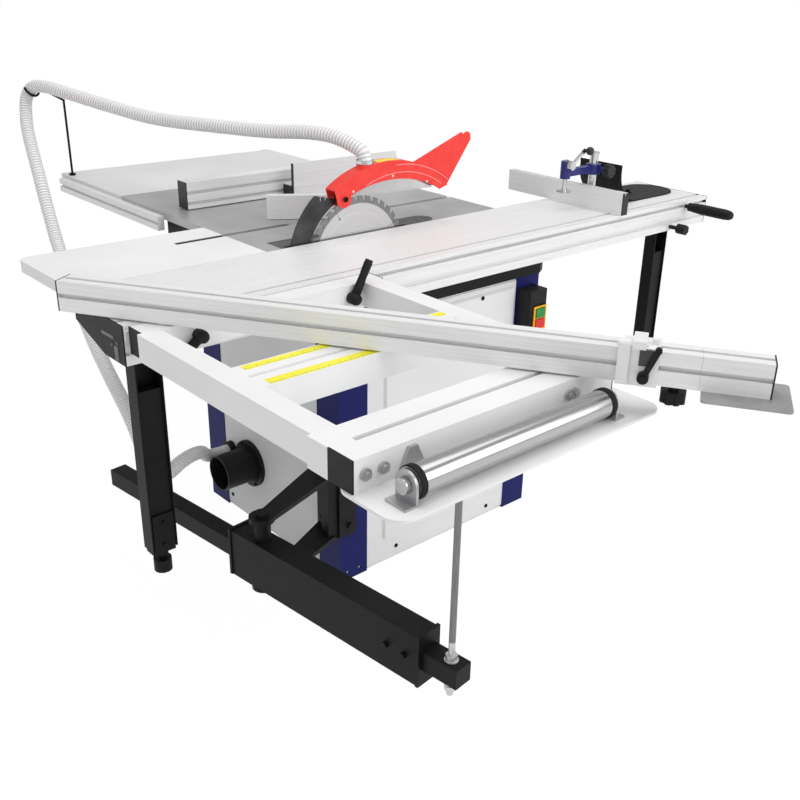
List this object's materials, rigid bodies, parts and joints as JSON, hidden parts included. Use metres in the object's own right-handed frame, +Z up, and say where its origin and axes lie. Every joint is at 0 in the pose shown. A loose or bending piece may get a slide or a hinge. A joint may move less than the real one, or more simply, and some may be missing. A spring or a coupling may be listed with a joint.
{
  "type": "sliding table saw",
  "caption": "Sliding table saw on a steel cabinet, with a cast table, a sliding carriage, a crosscut frame and fence, a rip fence, a blade guard and a dust hose.",
  "frame": {"origin": "on the floor, straight under the middle of the saw blade", "axes": "+X towards the operator's end along the cut, +Y from the sliding carriage across the cast table, +Z up"},
  "size_m": [2.07, 2.5508, 1.1431],
  "materials": {
    "blue_paint": "satin",
    "grey_panel": "satin",
    "white_paint": "satin",
    "black_paint": "satin",
    "cast_iron": "ground",
    "anodised": "satin",
    "steel": "brushed",
    "chrome": "polished",
    "red_plastic": "gloss",
    "green_plastic": "gloss",
    "black_plastic": "matte",
    "hose_plastic": "matte",
    "clear_plastic": "clear",
    "blue_clamp": "gloss",
    "machine_grey": "painted"
  },
  "bodies": {
    "base": {"corner_posts": "blue_paint", "cabinet_panels": "grey_panel", "upper_frame": "black_paint", "cast_table": "cast_iron", "table_insert": "black_paint", "rear_table": "white_paint", "far_table": "white_paint", "fence_rails": "anodised", "slide_beam": "anodised", "beam_caps": "black_plastic", "leg_channels": "black_paint", "dust_port": "black_plastic", "switch_box": "black_plastic", "hose_rod": "black_paint", "dust_hose": "hose_plastic", "hinge_bracket": "black_paint"},
    "start_button": {"start_button": "green_plastic"},
    "stop_button": {"stop_button": "red_plastic"},
    "rear_leg": {"rear_leg_foot": "black_paint"},
    "front_leg": {"front_leg_foot": "black_paint"},
    "carriage": {"carriage": "anodised", "carriage_caps": "black_plastic", "crosscut_frame": "white_paint", "frame_fittings": "steel", "roller_plate": "white_paint", "push_handle": "black_plastic", "shoe": "black_paint"},
    "roller": {"frame_roller": "steel"},
    "rear_clamp": {"rear_clamp_lever": "black_plastic"},
    "front_clamp": {"front_clamp_lever": "black_plastic"},
    "carriage_lock": {"carriage_knob": "black_plastic"},
    "fence": {"crosscut_fence": "anodised"},
    "fence_end": {"fence_extension": "anodised", "support_plate": "steel"},
    "fence_lock": {"fence_knob": "black_plastic"},
    "stop": {"stop_block": "white_paint"},
    "flap": {"stop_flap": "white_paint"},
    "stop_clamp": {"stop_lever": "black_plastic"},
    "short_fence": {"short_fence": "anodised", "hold_down_post": "chrome"},
    "hold_down": {"hold_down_arm": "blue_clamp"},
    "cam": {"hold_down_lever": "black_plastic"},
    "press": {"hold_down_rod": "chrome"},
    "tilt_unit": {"tilt_trunnion": "machine_grey"},
    "rise_unit": {"blade_carriage": "machine_grey", "riving_knife": "black_paint", "blade_guard": "red_plastic", "guard_window": "clear_plastic", "hose_clamp": "chrome"},
    "blade": {"blade": "steel"},
    "rise_wheel": {"rise_handwheel": "black_plastic"},
    "tilt_wheel": {"tilt_handwheel": "black_plastic"},
    "rip_fence": {"rip_carrier": "anodised"},
    "rip_face": {"rip_face": "anodised"},
    "rip_lever": {"rip_lever": "black_plastic"},
    "mitre_slide": {"mitre_bar": "steel"},
    "mitre_head": {"mitre_fence": "anodised"},
    "arm": {"swing_arm": "black_paint"},
    "arm_extension": {"swing_tube": "black_paint", "prop_rod": "steel"}
  },
  "joints": [
    {"name": "start_press", "type": "slide", "parent": "base", "child": "start_button", "axis": [0, 1, 0], "range_m": [0, 0.003], "stiffness_N_per_m": 1500},
    {"name": "stop_press", "type": "slide", "parent": "base", "child": "stop_button", "axis": [0, 1, 0], "range_m": [0, 0.003], "stiffness_N_per_m": 1500},
    {"name": "rear_leg_extension", "type": "slide", "parent": "base", "child": "rear_leg", "axis": [0, 0, -1], "range_m": [0, 0.24]},
    {"name": "front_leg_extension", "type": "slide", "parent": "base", "child": "front_leg", "axis": [0, 0, -1], "range_m": [0, 0.24]},
    {"name": "carriage_travel", "type": "slide", "parent": "base", "child": "carriage", "axis": [1, 0, 0], "range_m": [-0.56, 0.9]},
    {"name": "roller_spin", "type": "hinge", "parent": "carriage", "child": "roller", "pos_m": [-0.537, -1.068, 0.814], "axis": [1, 0, 0], "continuous": true},
    {"name": "rear_clamp_turn", "type": "hinge", "parent": "carriage", "child": "rear_clamp", "pos_m": [-0.68, -0.3453, 0.811], "axis": [0, -1, 0], "range_deg": [-6, 130]},
    {"name": "front_clamp_turn", "type": "hinge", "parent": "carriage", "child": "front_clamp", "pos_m": [-0.296, -0.3453, 0.811], "axis": [0, -1, 0], "range_deg": [-8, 110]},
    {"name": "carriage_lock_turn", "type": "hinge", "parent": "base", "child": "carriage_lock", "pos_m": [1.013, -0.2873, 0.76785], "axis": [0, -1, 0], "range_deg": [0, 360]},
    {"name": "fence_swivel", "type": "hinge", "parent": "carriage", "child": "fence", "pos_m": [-0.73, -0.312, 0.84], "axis": [0, 0, 1], "range_deg": [-35, 0]},
    {"name": "fence_extension_slide", "type": "slide", "parent": "fence", "child": "fence_end", "axis": [0.5373, -0.8434, 0], "range_m": [0, 0.45]},
    {"name": "fence_lock_turn", "type": "hinge", "parent": "fence", "child": "fence_lock", "pos_m": [-0.21054, -1.13297, 0.821], "axis": [0, 0, 1], "range_deg": [0, 360]},
    {"name": "stop_travel", "type": "slide", "parent": "fence", "child": "stop", "axis": [0.5373, -0.8434, 0], "range_m": [-1.05, 0.06]},
    {"name": "stop_flip", "type": "hinge", "parent": "stop", "child": "flap", "pos_m": [-0.28505, -1.07372, 0.9173], "axis": [-0.5373, 0.8434, 0], "range_deg": [0, 165]},
    {"name": "stop_clamp_turn", "type": "hinge", "parent": "stop", "child": "stop_clamp", "pos_m": [-0.26199, -1.10172, 0.86], "axis": [-0.8434, -0.5373, 0], "range_deg": [-60, 10]},
    {"name": "short_fence_travel", "type": "slide", "parent": "carriage", "child": "short_fence", "axis": [1, 0, 0], "range_m": [-0.47, 0.03]},
    {"name": "hold_down_height", "type": "slide", "parent": "short_fence", "child": "hold_down", "axis": [0, 0, 1], "range_m": [-0.03, 0.025]},
    {"name": "cam_turn", "type": "hinge", "parent": "hold_down", "child": "cam", "pos_m": [0.662, -0.1553, 0.972], "axis": [0, -1, 0], "range_deg": [-90, 0]},
    {"name": "press_travel", "type": "slide", "parent": "hold_down", "child": "press", "axis": [0, 0, -1], "range_m": [0, 0.02], "stiffness_N_per_m": 70},
    {"name": "blade_tilt", "type": "hinge", "parent": "base", "child": "tilt_unit", "pos_m": [0, 0, 0.84], "axis": [-1, 0, 0], "range_deg": [0, 45], "deforming": ["dust_hose"]},
    {"name": "blade_rise", "type": "slide", "parent": "tilt_unit", "child": "rise_unit", "axis": [0, 0, 1], "range_m": [-0.076, 0.002], "deforming": ["dust_hose"]},
    {"name": "blade_spin", "type": "hinge", "parent": "rise_unit", "child": "blade", "pos_m": [0, 0, 0.781], "axis": [0, 1, 0], "continuous": true},
    {"name": "rise_wheel_turn", "type": "hinge", "parent": "base", "child": "rise_wheel", "pos_m": [0.43, -0.04, 0.51], "axis": [1, 0, 0], "range_deg": [-2800, 100]},
    {"name": "tilt_wheel_turn", "type": "hinge", "parent": "base", "child": "tilt_wheel", "pos_m": [0.43, 0.2, 0.51], "axis": [1, 0, 0], "range_deg": [-10, 2750]},
    {"name": "rip_fence_travel", "type": "slide", "parent": "base", "child": "rip_fence", "axis": [0, -1, 0], "range_m": [-0.6, 0.13]},
    {"name": "rip_face_travel", "type": "slide", "parent": "rip_fence", "child": "rip_face", "axis": [1, 0, 0], "range_m": [-0.32, 0.015]},
    {"name": "rip_lever_turn", "type": "hinge", "parent": "rip_fence", "child": "rip_lever", "pos_m": [0.5783, 0.499, 0.83], "axis": [1, 0, 0], "range_deg": [0, 80]},
    {"name": "mitre_travel", "type": "slide", "parent": "base", "child": "mitre_slide", "axis": [1, 0, 0], "range_m": [-0.2, 0.25]},
    {"name": "mitre_swivel", "type": "hinge", "parent": "mitre_slide", "child": "mitre_head", "pos_m": [0.073, 0.185, 0.84], "axis": [0, 0, 1], "range_deg": [-117, 3]},
    {"name": "arm_swing", "type": "hinge", "parent": "base", "child": "arm", "pos_m": [-0.537, -0.318, 0.24], "axis": [0, 0, 1], "range_deg": [-10, 55]},
    {"name": "arm_extension_slide", "type": "slide", "parent": "arm", "child": "arm_extension", "axis": [0.1132, -0.9936, 0], "range_m": [0, 0.54]}
  ],
  "couplings": [
    {"joint": "rise_wheel_turn", "follows": "blade_rise", "rad_per_m": 628.32},
    {"joint": "tilt_wheel_turn", "follows": "blade_tilt", "ratio": 60},
    {"joint": "press_travel", "follows": "cam_turn", "m_per_rad": -0.0125}
  ]
}
